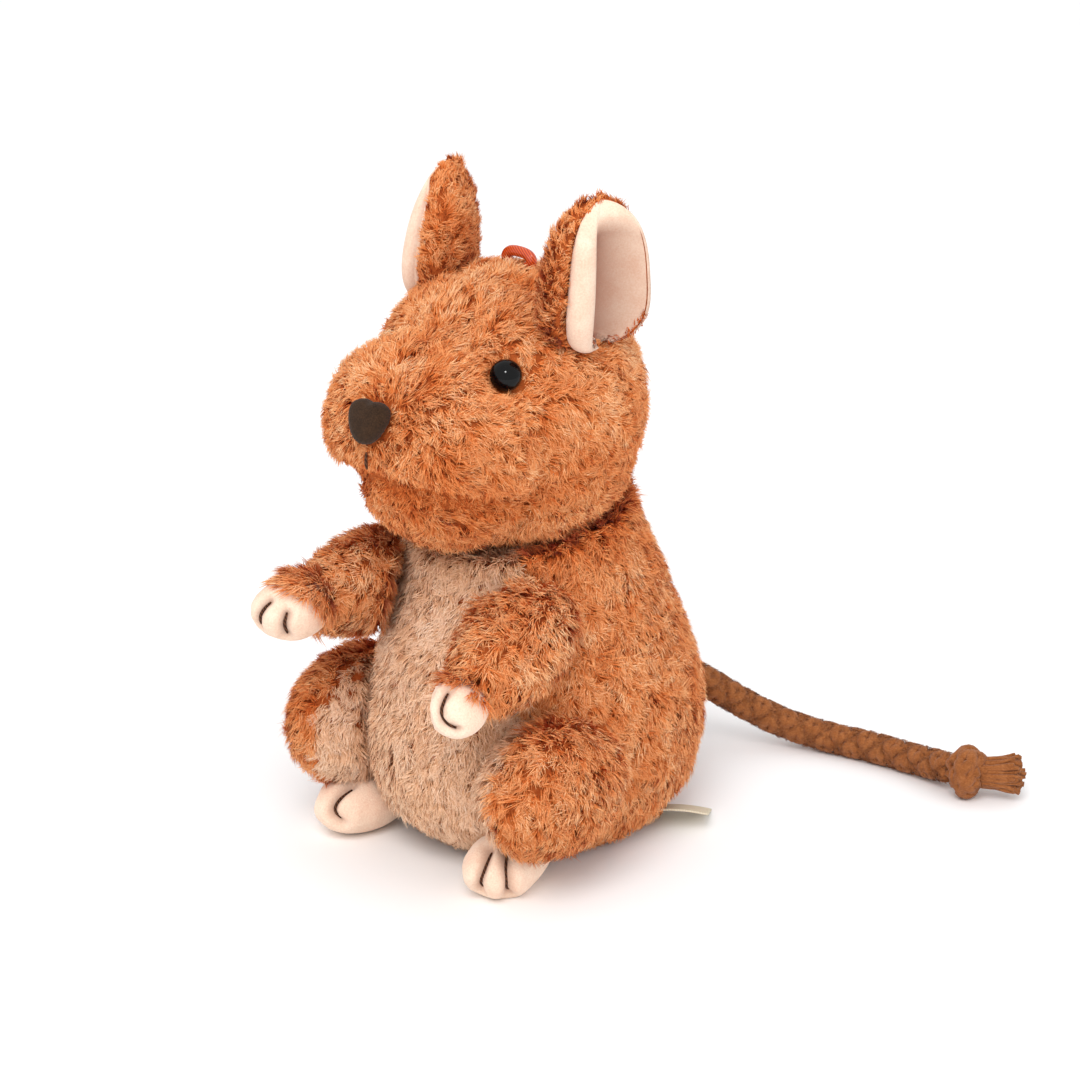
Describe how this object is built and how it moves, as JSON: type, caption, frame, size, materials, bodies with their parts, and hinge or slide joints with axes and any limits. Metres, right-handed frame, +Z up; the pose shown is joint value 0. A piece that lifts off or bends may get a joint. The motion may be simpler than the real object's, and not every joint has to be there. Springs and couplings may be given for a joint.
{
  "type": "plush mouse",
  "caption": "Small sitting plush mouse with a turning head, posable arms, cupped ears, bead eyes and a knotted rope tail.",
  "frame": {"origin": "on the surface the mouse sits on, under the middle of the toy without its free tail", "axes": "+Z up, -Y out of the mouse's face, +X towards the mouse's own left"},
  "size_m": [0.1052, 0.1204, 0.1276],
  "materials": {
    "fur": "curly orange-brown plush pile",
    "belly_fur": "straighter pinkish beige plush pile",
    "velour": "short smooth velour",
    "filling": "loose white polyester fibre",
    "thread": "twisted dark brown thread",
    "rope": "matte braided cotton rope",
    "eye_gloss": "glossy black",
    "nose_suede": "matte suede nap",
    "tag_cloth": "thin cream woven tape",
    "pouch_cloth": "plain woven cotton",
    "loop_satin": "shiny satin cord",
    "washer_plastic": "plain white"
  },
  "bodies": {
    "torso": {"belly_panel": "belly_fur", "body_panel_left": "fur", "body_panel_right": "fur", "base_panel": "fur", "bean_pouch": "pouch_cloth", "body_stuffing": "filling", "thigh_cover_left": "fur", "leg_panel_left": "belly_fur", "thigh_stuffing_left": "filling", "foot_left": "velour", "toe_stitch_left_1": "thread", "toe_stitch_left_2": "thread", "thigh_cover_right": "fur", "leg_panel_right": "belly_fur", "thigh_stuffing_right": "filling", "foot_right": "velour", "toe_stitch_right_1": "thread", "toe_stitch_right_2": "thread"},
    "neck": {"neck_stuffing": "filling"},
    "head": {"chin_panel": "fur", "head_panel_left": "fur", "head_panel_right": "fur", "head_stuffing": "filling", "neck_seam_thread": "thread", "eye_left": "eye_gloss", "eye_right": "eye_gloss", "eye_washer_left": "washer_plastic", "eye_washer_right": "washer_plastic", "nose_pad": "nose_suede", "mouth_stitch": "thread"},
    "loop": {"hanging_loop": "loop_satin"},
    "tail": {"tail_root": "rope", "tail_rope": "rope", "tail_knot": "rope", "tail_tuft": "rope"},
    "tag": {"care_tag": "tag_cloth"},
    "ear_left": {"ear_back_left": "fur", "ear_lining_left": "velour"},
    "arm_left": {"sleeve_left": "fur", "arm_stuffing_left": "filling", "paw_left": "velour", "finger_stitch_left_1": "thread", "finger_stitch_left_2": "thread"},
    "ear_right": {"ear_back_right": "fur", "ear_lining_right": "velour"},
    "arm_right": {"sleeve_right": "fur", "arm_stuffing_right": "filling", "paw_right": "velour", "finger_stitch_right_1": "thread", "finger_stitch_right_2": "thread"}
  },
  "joints": [
    {"name": "neck_turn", "type": "hinge", "parent": "torso", "child": "neck", "pos_m": [0.0005, -0.00225, 0.054], "axis": [0, 0, 1], "range_deg": [-25, 25], "stiffness_Nm_per_rad": 0.05},
    {"name": "neck_nod", "type": "hinge", "parent": "neck", "child": "head", "pos_m": [0.0005, -0.00225, 0.054], "axis": [1, 0, 0], "range_deg": [-6, 6], "stiffness_Nm_per_rad": 0.1},
    {"name": "shoulder_left", "type": "hinge", "parent": "torso", "child": "arm_left", "pos_m": [0.018, -0.01255, 0.051], "axis": [0.7695, -0.5996, 0.2199], "range_deg": [-44, 8], "stiffness_Nm_per_rad": 0.01},
    {"name": "shoulder_right", "type": "hinge", "parent": "torso", "child": "arm_right", "pos_m": [-0.017, -0.01255, 0.051], "axis": [0.7695, 0.5996, -0.2199], "range_deg": [-18, 34], "stiffness_Nm_per_rad": 0.01},
    {"name": "ear_left_fold", "type": "hinge", "parent": "head", "child": "ear_left", "pos_m": [0.02004, -0.00059, 0.10263], "axis": [0.4908, 0.8703, 0.0412], "range_deg": [-15, 15], "stiffness_Nm_per_rad": 0.004},
    {"name": "ear_right_fold", "type": "hinge", "parent": "head", "child": "ear_right", "pos_m": [-0.01864, -0.00039, 0.10292], "axis": [-0.4988, 0.8658, 0.0407], "range_deg": [-15, 15], "stiffness_Nm_per_rad": 0.004},
    {"name": "loop_flop", "type": "hinge", "parent": "head", "child": "loop", "pos_m": [0.0005, 0.00175, 0.1114], "axis": [1, 0, 0], "range_deg": [-35, 35], "stiffness_Nm_per_rad": 0.00005},
    {"name": "tag_flap", "type": "hinge", "parent": "torso", "child": "tag", "pos_m": [0.01862, 0.02356, 0.0015], "axis": [0.5612, -0.8277, 0], "range_deg": [-5, 40], "stiffness_Nm_per_rad": 0.0001},
    {"name": "tail_swing", "type": "hinge", "parent": "torso", "child": "tail", "pos_m": [0.0005, 0.04165, 0.018], "axis": [0, 0, 1], "range_deg": [-20, 70]}
  ]
}
